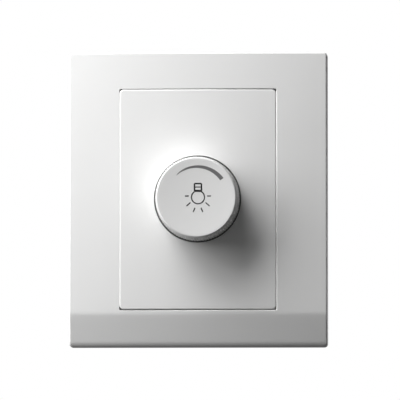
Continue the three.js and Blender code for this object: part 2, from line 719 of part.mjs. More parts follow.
function fuseClip(z) {
  const blade = box([FUSE_X - 3.4, FUSE_X + 3.4], [PART_SEAT, FUSE_Y + 2], [z - 2, z + 2]);
  const bed = rodZ(2.75, [z - 3, z + 3], [FUSE_X, FUSE_Y], 20);
  const mouth = box([FUSE_X - 2.2, FUSE_X + 2.2], [FUSE_Y, FUSE_Y + 4], [z - 3, z + 3]);
  return cut(blade, bed, mouth);
}

function terminal(x) {
  const half = 3.9;
  const block = box([x - half, x + half], [14.4, TERMINAL_BACK], [TERMINAL_Z - half, TERMINAL_Z + half]);
  const pin = box([x - 1, x + 1], [BOARD_FRONT - 0.6, 15], [-12.6, -12]);
  const wireHole = rodY(2.3, [15.4, TERMINAL_BACK + 1], [x, TERMINAL_Z], 16);
  const screwHole = rodZ(1.95, [TERMINAL_Z - 6, TERMINAL_Z - 0.6], [x, TERMINAL_SCREW_Y], 14);
  return cut(join(block, pin), wireHole, screwHole);
}

function terminalScrew(x) {
  const headFace = -HOUSING_SIDE / 2 + 0.8;
  const seat = TERMINAL_Z - 3.9 - REST;
  const shank = rodZ(1.75, [seat - 1, TERMINAL_Z - 2.6], [x, TERMINAL_SCREW_Y], 14);
  const head = rodZ(2.7, [headFace, seat], [x, TERMINAL_SCREW_Y], 20);
  const slitY = [TERMINAL_SCREW_Y - 0.4, TERMINAL_SCREW_Y + 0.4];
  const slit = box([x - 3, x + 3], slitY, [headFace - 1, headFace + 1]);
  return cut(join(shank, head), slit);
}

// ---------------------------------------------------------------- assembly
add(plateGroup, 'cover_frame', coverFrame(), FINISH.cover);
add(plateGroup, 'insert_panel', insertPanel(), FINISH.insert);

add(knobGroup, 'knob_body', knobBody(), FINISH.knob);
add(knobGroup, 'knob_cap', knobCap(), FINISH.knob);
add(knobGroup, 'knob_clip', knobClip(), FINISH.steel);

add(baseGroup, 'mounting_base', mountingBase(), FINISH.carrier);
add(baseGroup, 'rear_housing', rearHousing(), FINISH.housing);
for (const [side, name] of [[-1, 'wall_screw_left'], [1, 'wall_screw_right']]) {
  const place = [(side * SCREW_CENTRES) / 2, 0];
  add(baseGroup, name, screwY(2, 3.9, 2.2, 25, -BASE_THICK - REST, place), FINISH.steel);
}
HOUSING_SCREW_PLACES.forEach((place, i) => {
  const screw = screwY(1.25, 2.5, 1.7, -3.2, EAR_THICK + 2 * REST, place);
  add(baseGroup, `housing_screw_${i + 1}`, screw, FINISH.steel);
});

add(controlGroup, 'pot_case', potCase(), FINISH.aluminium);
add(controlGroup, 'pot_bushing', potBushing(), FINISH.brass);
add(controlGroup, 'pot_washer', potWasher(), FINISH.steel);
add(controlGroup, 'pot_nut', potNut(), FINISH.brass);
add(controlGroup, 'resistor_track', tubeY(7.3, 3.6, [-1.4, -0.5], [0, 0], 28), FINISH.phenolic);
add(controlGroup, 'pot_shaft', potShaft(), FINISH.steel);
add(controlGroup, 'wiper_carrier', tubeY(6.9, 1.7, [1.3, 3.4], [0, 0], 28), FINISH.epoxy);
add(controlGroup, 'wiper_contact', wiperContact(), FINISH.brass);
LEAD_X.forEach((x, i) => add(controlGroup, `pot_lead_${i + 1}`, potLead(x), FINISH.steel));
add(controlGroup, 'switch_case', switchCase(), FINISH.epoxy);
add(controlGroup, 'switch_cam', switchCam(), FINISH.pad);
add(controlGroup, 'switch_bridge', switchBridge(), FINISH.brass);
CONTACT_X.forEach((x, i) => {
  add(controlGroup, `switch_terminal_${i + 1}`, switchTerminal(x), FINISH.brass);
});

add(boardGroup, 'circuit_board', circuitBoard(), FINISH.board);
BOARD_SCREW_PLACES.forEach((place, i) => {
  const screw = screwY(1, 2.2, 1.4, 20, BOARD_FRONT - REST, place);
  add(boardGroup, `board_screw_${i + 1}`, screw, FINISH.steel);
});
add(boardGroup, 'heat_sink', heatSink(), FINISH.aluminium);
add(boardGroup, 'insulating_pad', insulatingPad(), FINISH.pad);
add(boardGroup, 'triac_body', triacBody(), FINISH.epoxy);
add(boardGroup, 'triac_screw', triacScrew(), FINISH.steel);
LEAD_X.forEach((x, i) => add(boardGroup, `triac_lead_${i + 1}`, triacLead(x), FINISH.steel));
add(boardGroup, 'filter_capacitor', box([-20.4, -8.4], [PART_SEAT, 24], [-7, 10.6]), FINISH.film);
add(boardGroup, 'choke_core', rodZ(2.9, [-5, 12], CHOKE_PLACE, 20), FINISH.ferrite);
add(boardGroup, 'choke_winding', chokeWinding(), FINISH.copper);
add(boardGroup, 'timing_capacitor', box([-19, -16.2], [4.4, BOARD_FRONT - REST], [2, 9.4]), FINISH.film);
add(boardGroup, 'diac', axialPart(-12, -14, 0.95, 2, 4.6), FINISH.glass);
add(boardGroup, 'resistor_1', axialPart(12, 14, 1.2, 3.1, 5), FINISH.resistor);
add(boardGroup, 'resistor_2', axialPart(15.6, 4, 1.2, 3.1, 5), FINISH.resistor);

add(wiringGroup, 'fuse_tube', fuseTube(), FINISH.glass);
FUSE_CLIP_Z.forEach((z, i) => {
  const cap = rodZ(2.6, [z - FUSE_CAP_HALF, z + FUSE_CAP_HALF], [FUSE_X, FUSE_Y], 20);
  add(wiringGroup, `fuse_cap_${i + 1}`, cap, FINISH.steel);
  add(wiringGroup, `fuse_clip_${i + 1}`, fuseClip(z), FINISH.brass);
});
[['line', -TERMINAL_X], ['load', TERMINAL_X]].forEach(([name, x]) => {
  add(wiringGroup, `terminal_${name}`, terminal(x), FINISH.brass);
  add(wiringGroup, `terminal_screw_${name}`, terminalScrew(x), FINISH.steel);
});

export default dimmer;
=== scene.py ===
"""The looks of a rotary wall dimmer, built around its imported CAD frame.

Metres. The front faces -Y, +Z is up, +X is right seen from the front, and the wall plane is y = 0.
Sections: measures, mesh tools, materials, cover frame, insert, knob, print on the knob, screws, choke,
finishes of the CAD nodes, stage.
"""

import json
import math

import bmesh
import bpy
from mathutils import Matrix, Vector


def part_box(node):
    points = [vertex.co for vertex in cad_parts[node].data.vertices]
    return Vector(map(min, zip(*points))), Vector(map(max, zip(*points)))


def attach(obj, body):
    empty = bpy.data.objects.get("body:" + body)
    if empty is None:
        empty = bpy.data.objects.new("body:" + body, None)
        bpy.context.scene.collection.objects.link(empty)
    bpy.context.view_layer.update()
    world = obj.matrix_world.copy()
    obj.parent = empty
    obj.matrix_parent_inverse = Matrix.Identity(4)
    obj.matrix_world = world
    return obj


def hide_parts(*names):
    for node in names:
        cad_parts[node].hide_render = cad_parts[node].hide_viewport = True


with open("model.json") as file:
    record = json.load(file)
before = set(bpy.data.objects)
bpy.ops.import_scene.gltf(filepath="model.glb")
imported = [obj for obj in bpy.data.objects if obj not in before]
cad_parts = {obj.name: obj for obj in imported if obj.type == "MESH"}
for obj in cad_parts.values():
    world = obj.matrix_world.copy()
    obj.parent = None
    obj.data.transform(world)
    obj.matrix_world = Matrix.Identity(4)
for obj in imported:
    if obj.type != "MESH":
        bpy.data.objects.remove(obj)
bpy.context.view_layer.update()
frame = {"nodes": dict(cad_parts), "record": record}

MM = 0.001

# ------------------------------------------------------------------ measures, from the frame
plate_lo, plate_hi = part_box("cover_frame")
insert_lo, insert_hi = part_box("insert_panel")
knob_lo, knob_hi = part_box("knob_body")
cap_lo, cap_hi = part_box("knob_cap")

FIT = 0.1 * MM  # gap between pieces that sit in or on each other
CHAMFER = 0.2 * MM  # on edges that are seen only when the pieces are apart
FRONT_CLEAR = 0.02 * MM  # the plate's front stays this far inside its CAD box

# cover frame
CROWN_DROP = 1.5 * MM  # how far the front falls back from its middle to its sides
BAND_HEIGHT = 11 * MM  # the sloping band along the foot
BAND_SLOPE = 0.21
CREASE_SOFT = 0.7 * MM
FOOT_ROLL = 1.1 * MM  # the last strip of the band, which curves away
FOOT_ROLL_DROP = 0.3 * MM
SIDE_DRAFT = 0.12 * MM
EDGE_ROUND = 0.55 * MM
PLATE_CORNER = 1.2 * MM
WALL = 1.8 * MM
LIP_REAR = plate_lo.y + 4.1 * MM  # back of the lip round the window
HOOK_X = 16 * MM
HOOK_Z = 39.5 * MM
HOOK_HALF_WIDTH = 3 * MM
HOOK_HALF_THICK = 0.8 * MM

# window in the frame, and the insert that fills it
WINDOW_GAP = 0.05 * MM  # at the sides
END_GAP = 0.22 * MM  # at the top and bottom
WINDOW_CORNER = 0.5 * MM
WINDOW_ROUND = 0.3 * MM  # along the right side and the bottom
WINDOW_CRISP = 0.06 * MM  # along the left side and the top
INSERT_CORNER = 1.4 * MM
INSERT_END_INSET = 0.16 * MM  # the insert's ends stay this far inside its CAD box
INSERT_SINK = -0.04 * MM  # behind the frame's front, in the middle
INSERT_TILT = 0.16 * MM  # the left side stands proud by this much more, the right side less
INSERT_ROUND = 0.42 * MM
INSERT_ROUND_DROP = 0.26 * MM
INSERT_THICK = 2 * MM
INSERT_HOLE = 6.6 * MM
RIM_INSET_X = 1.4 * MM  # the rim on its back, which sits in the mounting base
RIM_INSET_Z = 1.5 * MM
RIM_THICK = 1.5 * MM
RECESS_GAP = 0.34 * MM  # between the knob and the recess round its foot
RECESS_DEPTH = 0.8 * MM
RECESS_SHIFT = 0.09 * MM  # the recess sits a little up and to the left of the knob

# knob
SERRATIONS = 96
SERRATION_DEPTH = 0.3 * MM
KNOB_DRAFT = 0.5 * MM
HUB_RADIUS = 4.9 * MM
HUB_SHORT = 0.85 * MM  # the hub ends this far inside the skirt, clear of the shaft's round part
ROOF_THICK = 1.4 * MM
SHAFT_FLAT = 1.6 * MM  # distance from the axis to the flat of the D-shaped bore
CAP_RIM = 0.45 * MM
CAP_FLANGE = 1 * MM
CAP_PLUG = 1.2 * MM  # the plug behind the cap's flange is narrower by this much
CAP_LIFT = 0.03 * MM  # room in front of the cap for the print, inside the cap's CAD box
DISH_DEPTH = 0.4 * MM

plate_half_x = plate_hi.x
plate_half_z = plate_hi.z
crease_z = plate_lo.z + BAND_HEIGHT
window_half_x = insert_hi.x + WINDOW_GAP
insert_half_z = insert_hi.z - INSERT_END_INSET
window_half_z = insert_half_z + END_GAP


# ------------------------------------------------------------------ mesh tools
def new_piece(name, verts, faces, sharp_degrees=38):
    """A piece with smooth shading, split only where faces meet at more than sharp_degrees."""
    mesh = bpy.data.meshes.new(name)
    mesh.from_pydata([tuple(v) for v in verts], [], faces)
    shape = bmesh.new()
    shape.from_mesh(mesh)
    bmesh.ops.remove_doubles(shape, verts=shape.verts, dist=1e-7)
    bmesh.ops.recalc_face_normals(shape, faces=shape.faces)
    shape.to_mesh(mesh)
    shape.free()
    mesh.shade_smooth()
    mesh.set_sharp_from_angle(angle=math.radians(sharp_degrees))
    piece = bpy.data.objects.new(name, mesh)
    bpy.context.scene.collection.objects.link(piece)
    return piece


def ring_mesh(rings, closed=False, cap_ends=False):
    """Vertices and faces of a surface through rings that have the same number of points."""
    count = len(rings[0])
    verts = [point for ring in rings for point in ring]
    faces = []
    steps = len(rings) if closed else len(rings) - 1
    for i in range(steps):
        a = i * count
        b = ((i + 1) % len(rings)) * count
        for k in range(count):
            n = (k + 1) % count
            faces.append((a + k, a + n, b + n, b + k))
    if cap_ends:
        faces.append(tuple(range(count)))
        faces.append(tuple(range(len(verts) - count, len(verts))))
    return verts, faces


def merged(*parts):
    """Several (vertices, faces) pairs as one pair."""
    verts, faces = [], []
    for part_verts, part_faces in parts:
        start = len(verts)
        verts += part_verts
        faces += [tuple(start + i for i in face) for face in part_faces]
    return verts, faces


def arc(steps, start=0.0, end=90.0):
    """Angles in radians from start to end degrees."""
    return [math.radians(start + (end - start) * i / steps) for i in range(steps + 1)]


def rounded_loop(half_x, half_z, radius, shares_x, shares_z, corner_steps=5):
    """(x, z) points round a rectangle with rounded corners, anticlockwise from the lower left."""
    cx = half_x - radius
    cz = half_z - radius
    points = [(-cx + 2 * cx * s, -half_z) for s in shares_x[:-1]]
    points += [(cx + radius * math.sin(a), -cz - radius * math.cos(a)) for a in arc(corner_steps)[:-1]]
    points += [(half_x, -cz + 2 * cz * s) for s in shares_z[:-1]]
    points += [(cx + radius * math.cos(a), cz + radius * math.sin(a)) for a in arc(corner_steps)[:-1]]
    points += [(cx - 2 * cx * s, half_z) for s in shares_x[:-1]]
    points += [(-cx - radius * math.sin(a), cz + radius * math.cos(a)) for a in arc(corner_steps)[:-1]]
    points += [(-half_x, cz - 2 * cz * s) for s in reversed_shares(shares_z)[:-1]]
    points += [(-cx - radius * math.cos(a), -cz - radius * math.sin(a)) for a in arc(corner_steps)[:-1]]
    return points


def reversed_shares(shares):
    return [1 - s for s in reversed(shares)]


def even_shares(count):
    return [i / count for i in range(count + 1)]


def shares_near(count, place, reach, extra):
    """Even shares with extra ones packed round one place."""
    shares = set(even_shares(count))
    shares |= {place + reach * (2 * i / extra - 1) for i in range(extra + 1)}
    return sorted(s for s in shares if 0 <= s <= 1)


def lifted(points, y):
    """(x, z) points as 3-D points; y is a number or a function of x and z."""
    return [(x, y(x, z) if callable(y) else y, z) for x, z in points]


def circle(radius, y, sides):
    """Points on a circle round the knob's axis."""
    angles = [2 * math.pi * i / sides for i in range(sides)]
    return [(radius * math.cos(a), y, radius * math.sin(a)) for a in angles]


def box_part(x0, x1, y0, y1, z0, z1):
    """Vertices and faces of a plain block, for the hooks moulded on the frame."""
    bottom = [(x0, y0, z0), (x1, y0, z0), (x1, y1, z0), (x0, y1, z0)]
    top = [(x, y, z1) for x, y, _ in bottom]
    return ring_mesh([bottom, top], cap_ends=True)


# ------------------------------------------------------------------ materials
def shader(name):
    """A new material with its node tree, its Principled shader and an object-space coordinate."""
    material = bpy.data.materials.new(name)
    material.use_nodes = True
    nodes = material.node_tree.nodes
    principled = nodes["Principled BSDF"]
    coordinate = nodes.new("ShaderNodeTexCoord").outputs["Object"]
    return material, material.node_tree, principled, coordinate


def noise(tree, coordinate, scale, detail=3.0, roughness=0.5):
    node = tree.nodes.new("ShaderNodeTexNoise")
    node.inputs["Scale"].default_value = scale
    node.inputs["Detail"].default_value = detail
    node.inputs["Roughness"].default_value = roughness
    tree.links.new(coordinate, node.inputs["Vector"])
    return node.outputs["Fac"]


def remap(tree, value, low, high, from_low=0.3, from_high=0.7):
    node = tree.nodes.new("ShaderNodeMapRange")
    node.inputs["From Min"].default_value = from_low
    node.inputs["From Max"].default_value = from_high
    node.inputs["To Min"].default_value = low
    node.inputs["To Max"].default_value = high
    tree.links.new(value, node.inputs["Value"])
    return node.outputs["Result"]


def mix_colour(tree, factor, first, second):
    node = tree.nodes.new("ShaderNodeMix")
    node.data_type = "RGBA"
    tree.links.new(factor, node.inputs["Factor"])
    for socket, colour in ((node.inputs[6], first), (node.inputs[7], second)):
        if isinstance(colour, tuple):
            socket.default_value = (*colour, 1)
        else:
            tree.links.new(colour, socket)
    return node.outputs[2]


def bump(tree, principled, height, distance, strength=1.0):
    node = tree.nodes.new("ShaderNodeBump")
    node.inputs["Strength"].default_value = strength
    node.inputs["Distance"].default_value = distance
    tree.links.new(height, node.inputs["Height"])
    tree.links.new(node.outputs["Normal"], principled.inputs["Normal"])


def edge_highlight_mask(tree, low=0.52, high=0.62):
    """From 0 on flat places to 1 on outer edges, where the painted highlight goes."""
    geometry = tree.nodes.new("ShaderNodeNewGeometry")
    return remap(tree, geometry.outputs["Pointiness"], 0, 1, low, high)


def shade(colour, factor):
    return tuple(min(1.0, c * factor) for c in colour)


def gap_shade(tree, colour):
    """The colour with painted shade: darker deep inside narrow gaps, where ambient occlusion finds little
    room for light.
    """
    nearby = tree.nodes.new("ShaderNodeAmbientOcclusion")
    nearby.samples = 8
    nearby.inputs["Distance"].default_value = 2 * MM
    openness = remap(tree, nearby.outputs["AO"], 0, 1, 0.16, 0.5)
    # painted shade: the deepest parts of a gap go nearly black
    return mix_colour(tree, openness, (0.03, 0.03, 0.03), colour)


def moulded(name, colour, roughness, grain=0.25 * MM, depth=0.004 * MM, painted_gap_shade=False):
    """Moulded plastic: a fine tool grain, faint flow clouds, a roughness that varies a little, a painted
    highlight on outer edges, and painted shade in narrow gaps where asked for.
    """
    material, tree, principled, at = shader(name)
    clouds = noise(tree, at, 60, 2)
    fine = noise(tree, at, 1 / grain, 4, 0.6)
    tint = mix_colour(tree, clouds, shade(colour, 0.985), shade(colour, 1.01))
    # painted highlight: the colour up to 6 per cent lighter on outer edges
    edge_highlit = mix_colour(tree, remap(tree, edge_highlight_mask(tree), 0, 0.12, 0, 1), tint, shade(colour, 1.06))
    # painted shade in narrow gaps, where asked for
    tree.links.new(gap_shade(tree, edge_highlit) if painted_gap_shade else edge_highlit, principled.inputs["Base Color"])
    smears = noise(tree, at, 110, 5, 0.65)
    tree.links.new(remap(tree, smears, roughness - 0.04, roughness + 0.05), principled.inputs["Roughness"])
    bump(tree, principled, fine, depth)
    return material


def metal(name, colour, roughness, stretch=(1, 1, 1), scale=2500, depth=0.003 * MM):
    """Metal with drawn or turned marks: noise stretched along one axis in roughness and bump."""
    material, tree, principled, at = shader(name)
    mapping = tree.nodes.new("ShaderNodeMapping")
    mapping.inputs["Scale"].default_value = stretch
    tree.links.new(at, mapping.inputs["Vector"])
    marks = noise(tree, mapping.outputs["Vector"], scale, 3, 0.7)
    stains = noise(tree, at, 300, 3)
    tint = mix_colour(tree, stains, shade(colour, 0.86), shade(colour, 1.08))
    tree.links.new(tint, principled.inputs["Base Color"])
    tree.links.new(remap(tree, marks, roughness - 0.08, roughness + 0.12), principled.inputs["Roughness"])
    principled.inputs["Metallic"].default_value = 1
    bump(tree, principled, marks, depth)
    return material


def ink(name, colour):
    """Pad-printed ink: matt, very slightly uneven in density."""
    material, tree, principled, at = shader(name)
    density = noise(tree, at, 4000, 3)
    tint = mix_colour(tree, density, shade(colour, 0.85), shade(colour, 1.2))
    tree.links.new(tint, principled.inputs["Base Color"])
    tree.links.new(remap(tree, noise(tree, at, 2500, 2), 0.45, 0.6), principled.inputs["Roughness"])
    return material


def glass(name, colour):
    """Clear glass with faint changes of tint and smears."""
    material, tree, principled, at = shader(name)
    tint = mix_colour(tree, noise(tree, at, 200, 2), colour, shade(colour, 1.05))
    tree.links.new(tint, principled.inputs["Base Color"])
    tree.links.new(remap(tree, noise(tree, at, 500, 3), 0.03, 0.08), principled.inputs["Roughness"])
    principled.inputs["Transmission Weight"].default_value = 0.85
    principled.inputs["IOR"].default_value = 1.5
    return material


WHITE = (0.84, 0.84, 0.835)
FINISH = {
    "cover_plastic": moulded("cover_plastic", WHITE, 0.36),
    # the insert and the knob get painted shade deep in their narrow gaps
    "insert_plastic": moulded("insert_plastic", WHITE, 0.38, painted_gap_shade=True),
    "knob_plastic": moulded("knob_plastic", shade(WHITE, 0.98), 0.34, 0.2 * MM, painted_gap_shade=True),
    "carrier_plastic": moulded("carrier_plastic", (0.72, 0.72, 0.70), 0.5, 0.35 * MM, 0.01 * MM),
    "housing_plastic": moulded("housing_plastic", (0.035, 0.035, 0.038), 0.5, 0.4 * MM, 0.02 * MM),
    "zinc_steel": metal("zinc_steel", (0.62, 0.63, 0.65), 0.32, stretch=(1, 0.15, 1)),
    "tinned_lead": metal("tinned_lead", (0.70, 0.70, 0.70), 0.28, stretch=(1, 0.1, 1)),
    "brass_strip": metal("brass_strip", (0.72, 0.52, 0.22), 0.3, stretch=(0.2, 1, 1)),
    "aluminium_sheet": metal("aluminium_sheet", (0.74, 0.75, 0.76), 0.38, stretch=(0.08, 1, 1)),
    "phenolic_track": moulded("phenolic_track", (0.20, 0.11, 0.06), 0.5),
    "black_resin": moulded("black_resin", (0.018, 0.018, 0.02), 0.42, 0.15 * MM, 0.01 * MM),
    "grey_resin": moulded("grey_resin", (0.42, 0.44, 0.47), 0.6),
    "board_laminate": moulded("board_laminate", (0.42, 0.27, 0.11), 0.45, 0.6 * MM),
    "capacitor_case": moulded("capacitor_case", (0.68, 0.47, 0.03), 0.35),
    "ferrite": moulded("ferrite", (0.045, 0.045, 0.05), 0.7, 0.12 * MM, 0.02 * MM),
    "enamelled_copper": metal("enamelled_copper", (0.50, 0.18, 0.06), 0.25, stretch=(1, 1, 0.5)),
    "resistor_lacquer": moulded("resistor_lacquer", (0.58, 0.42, 0.22), 0.4),
    "clear_glass": glass("clear_glass", (0.92, 0.96, 0.96)),
    "diode_glass": moulded("diode_glass", (0.45, 0.12, 0.05), 0.2),
}
ARC_INK = ink("arc_ink", (0.16, 0.16, 0.16))
LINE_INK = ink("line_ink", (0.012, 0.012, 0.012))


def place(piece, body, slot_name, *nodes, material=None):
    """Gives a new piece its material, the finish of its slot unless another is given, and its body, and
    hides the CAD nodes it stands for.
    """
    piece.data.materials.clear()
    piece.data.materials.append(material or FINISH[slot_name])
    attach(piece, body)
    if nodes:
        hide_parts(*nodes)
    return piece


# ------------------------------------------------------------------ cover frame
def crowned_front(x, z):
    """Depth of the plate's front: crowned across, and falling back below the crease."""
    crown = CROWN_DROP * (x / plate_half_x) ** 2
    below = crease_z - z
    ramp = BAND_SLOPE * (below + math.hypot(below, CREASE_SOFT)) / 2
    roll = max(0, 1 - (z + plate_half_z - EDGE_ROUND) / FOOT_ROLL) ** 2 * FOOT_ROLL_DROP
    return plate_lo.y + FRONT_CLEAR + crown + ramp + roll


def window_point(x, z, offset):
    """The nearest point to (x, z) on the window's outline moved outwards by offset."""
    core_x = max(-window_half_x + WINDOW_CORNER, min(window_half_x - WINDOW_CORNER, x))
    core_z = max(-window_half_z + WINDOW_CORNER, min(window_half_z - WINDOW_CORNER, z))
    away = Vector((x - core_x, z - core_z)).normalized() * (WINDOW_CORNER + offset)
    return core_x + away.x, core_z + away.y


def window_round(x, z):
    """The rounding of the window's edge at a place on it: crisp along its left side and its top."""
    left = x < -window_half_x + WINDOW_CORNER / 2
    top = z > window_half_z - WINDOW_CORNER / 2
    return WINDOW_CRISP if left or top else WINDOW_ROUND


def cover_frame():
    crease_share = (crease_z + plate_half_z) / (2 * plate_half_z)
    shares_x = even_shares(84)
    shares_z = shares_near(96, crease_share, 0.02, 12)

    def outer(inset):
        corner = max(PLATE_CORNER - inset, 0.15 * MM)
        return rounded_loop(plate_half_x - inset, plate_half_z - inset, corner, shares_x, shares_z)

    def window(offset, y):
        return lifted([window_point(x, z, offset) for x, z in outer(0)], y)

    def window_edge(angle):
        """A ring on the window's rounded edge: flush with the front at 0, on the wall at 90 degrees."""
        points = []
        for x, z in outer(0):
            size = window_round(*window_point(x, z, 0))
            wx, wz = window_point(x, z, size * (1 - math.sin(angle)))
            points.append((wx, crowned_front(wx, wz) + size * (1 - math.cos(angle)), wz))
        return points

    def between(start, end, shares, drop):
        rings = []
        for t in shares:
            points = [(x0 + (x1 - x0) * t, z0 + (z1 - z0) * t) for (x0, z0), (x1, z1) in zip(start, end)]
            rings.append(lifted(points, lambda x, z: crowned_front(x, z) + drop))
        return rings

    rings = [lifted(outer(0), plate_hi.y)]
    rings.append(lifted(outer(SIDE_DRAFT * 0.9), lambda x, z: crowned_front(x, z) + EDGE_ROUND * 1.2))
    for a in arc(6):
        inset = SIDE_DRAFT + EDGE_ROUND * (1 - math.cos(a))
        fall = EDGE_ROUND * (1 - math.sin(a))
        rings.append(lifted(outer(inset), lambda x, z: crowned_front(x, z) + fall))
    front_edge = outer(SIDE_DRAFT + EDGE_ROUND + 0.05 * MM)
    front_window = [window_point(x, z, WINDOW_ROUND + 0.05 * MM) for x, z in outer(0)]
    crease_t = (plate_half_z - SIDE_DRAFT - EDGE_ROUND + crease_z) / (
        plate_half_z - SIDE_DRAFT - EDGE_ROUND - window_half_z
    )
    rings += between(front_edge, front_window, shares_near(20, crease_t, 0.12, 10), 0)
    rings += [window_edge(a) for a in arc(5)]
    rings.append(window(0, LIP_REAR - CHAMFER))
    rings.append(window(CHAMFER, LIP_REAR))
    rings.append(window(WALL - CHAMFER, LIP_REAR))
    inner_window = [window_point(x, z, WALL) for x, z in outer(0)]
    inner_edge = outer(WALL + SIDE_DRAFT)
    rings += between(inner_window, inner_edge, even_shares(12), WALL)
    rings.append(lifted(outer(WALL), plate_hi.y))
    shell = ring_mesh(rings, closed=True)
    hooks = []
    for sx in (-1, 1):
        for sz in (-1, 1):
            x, z = sx * HOOK_X, sz * HOOK_Z
            across = (x - HOOK_HALF_WIDTH, x + HOOK_HALF_WIDTH)
            up = (z - HOOK_HALF_THICK, z + HOOK_HALF_THICK)
            hooks.append(box_part(*across, plate_lo.y + WALL + 0.4 * MM, -0.5 * MM, *up))
    return new_piece("cover_frame_shell", *merged(shell, *hooks))


place(cover_frame(), "cover", "cover_plastic", "cover_frame")


# ------------------------------------------------------------------ insert
def insert_panel():
    shares_x = even_shares(48)
    shares_z = even_shares(64)
    half_x, half_z = insert_hi.x, insert_half_z
    back = insert_lo.y + INSERT_THICK
    rim_x, rim_z = insert_hi.x - RIM_INSET_X, insert_hi.z - RIM_INSET_Z
    recess = knob_hi.x + RECESS_GAP
    floor = insert_lo.y + RECESS_DEPTH

    def crowned(x, z):
        tilt = INSERT_TILT * x / insert_hi.x
        return plate_lo.y + INSERT_SINK + tilt + CROWN_DROP * (x / plate_half_x) ** 2

    def loop(inset, y):
        corner = max(INSERT_CORNER - inset, 0.2 * MM)
        return lifted(rounded_loop(half_x - inset, half_z - inset, corner, shares_x, shares_z), y)

    def rim(inset, y):
        corner = max(1 * MM - inset, 0.2 * MM)
        return lifted(rounded_loop(rim_x - inset, rim_z - inset, corner, shares_x, shares_z), y)

    def hole_ring(radius, y):
        directions = [Vector((x, z)).normalized() * radius for x, _, z in loop(0, 0)]
        return [(d.x, y, d.y) for d in directions]

    def recess_ring(radius, y):
        return [(x - RECESS_SHIFT, y, z + RECESS_SHIFT) for x, y, z in hole_ring(radius, y)]

    def on_crown(radius, fall):
        return [(x, crowned(x, z) + fall, z) for x, _, z in recess_ring(radius, 0)]

    rings = [hole_ring(INSERT_HOLE, back), hole_ring(INSERT_HOLE, floor + CHAMFER)]
    rings.append(hole_ring(INSERT_HOLE + CHAMFER, floor))
    rings += [recess_ring(recess - 0.1 * MM, floor), recess_ring(recess, floor - 0.1 * MM)]
    rings += [on_crown(recess, 0.12 * MM), on_crown(recess + 0.08 * MM, 0.02 * MM)]
    edge = loop(INSERT_ROUND + 0.1 * MM, crowned)
    inner = recess_ring(recess + 0.3 * MM, 0)
    for t in even_shares(10):
        points = [(x0 + (x1 - x0) * t, z0 + (z1 - z0) * t) for (x0, _, z0), (x1, _, z1) in zip(inner, edge)]
        rings.append(lifted(points, crowned))
    for a in arc(5):
        inset = INSERT_ROUND * (1 - math.sin(a))
        fall = INSERT_ROUND_DROP * (1 - math.cos(a))
        rings.append(loop(inset, lambda x, z: crowned(x, z) + fall))
    rings.append(loop(0, back - 0.1 * MM))
    rings.append(loop(0.1 * MM, back))
    rings.append(rim(0, back))
    rings.append(rim(0, insert_hi.y))
    rings.append(rim(RIM_THICK, insert_hi.y))
    rings.append(rim(RIM_THICK, back))
    return new_piece("insert_plate", *ring_mesh(rings, closed=True))


place(insert_panel(), "base", "insert_plastic", "insert_panel")


# ------------------------------------------------------------------ knob
def knob_body():
    sides = SERRATIONS * 6
    radius = knob_hi.x
    front, back = knob_lo.y, knob_hi.y
    seat_radius = cap_hi.x - CAP_PLUG + FIT
    seat = cap_hi.y + FIT
    hollow = cap_hi.x - CAP_PLUG - FIT
    roof = seat + ROOF_THICK
    nose = radius - KNOB_DRAFT
    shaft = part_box("pot_shaft")[1].x + FIT
    bore_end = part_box("pot_shaft")[0].y - 0.5 * MM
    hub_back = back - HUB_SHORT

    def ring(r, y, cut=0.0):
        """A ring whose outline dips by cut between the serrations, with rounded crests."""
        points = []
        for i in range(sides):
            angle = 2 * math.pi * i / sides
            wave = (1 + math.cos(angle * SERRATIONS)) / 2
            here = r - cut * (1 - wave) ** 1.5
            points.append((here * math.cos(angle), y, here * math.sin(angle)))
        return points

    def bore(y):
        """A ring of the D-shaped bore, flat at the top."""
        points = []
        for i in range(sides):
            angle = 2 * math.pi * i / sides
            up = math.sin(angle)
            here = min(shaft, SHAFT_FLAT / up) if up > 1e-6 else shaft
            points.append((here * math.cos(angle), y, here * math.sin(angle)))
        return points

    depth = SERRATION_DEPTH
    rings = [
        ring(0.01 * MM, bore_end),
        bore(bore_end),
        bore(hub_back),
        ring(HUB_RADIUS - CHAMFER, hub_back),
        ring(HUB_RADIUS, hub_back - CHAMFER),
        ring(HUB_RADIUS, roof),
        ring(hollow, roof),
        ring(hollow, back - CHAMFER),
        ring(hollow + CHAMFER, back),
        ring(radius - 0.75 * MM, back),
        ring(radius - 0.5 * MM, back - 0.25 * MM),
        ring(radius - 0.05 * MM, back - 0.6 * MM, depth * 0.9),
        ring(radius, back - 1.0 * MM, depth),
        ring(nose, front + 0.25 * MM, depth),
        ring(nose - 0.04 * MM, front + 0.08 * MM, depth * 0.9),
        ring(nose - 0.1 * MM, front + 0.02 * MM, depth * 0.7),
        ring(nose - depth, front),
        ring(seat_radius + 0.05 * MM, front),
        ring(seat_radius, front + 0.05 * MM),
        ring(seat_radius, seat),
        ring(0.01 * MM, seat),
    ]
    return new_piece("knob_skirt", *ring_mesh(rings, cap_ends=True), sharp_degrees=50)


def dish_y(radius):
    """Depth of the cap's hollowed face at a distance from its axis."""
    crest = cap_hi.x - CAP_RIM
    share = min(radius / crest, 1)
    return cap_lo.y + CAP_LIFT + DISH_DEPTH * (1 - share**2)


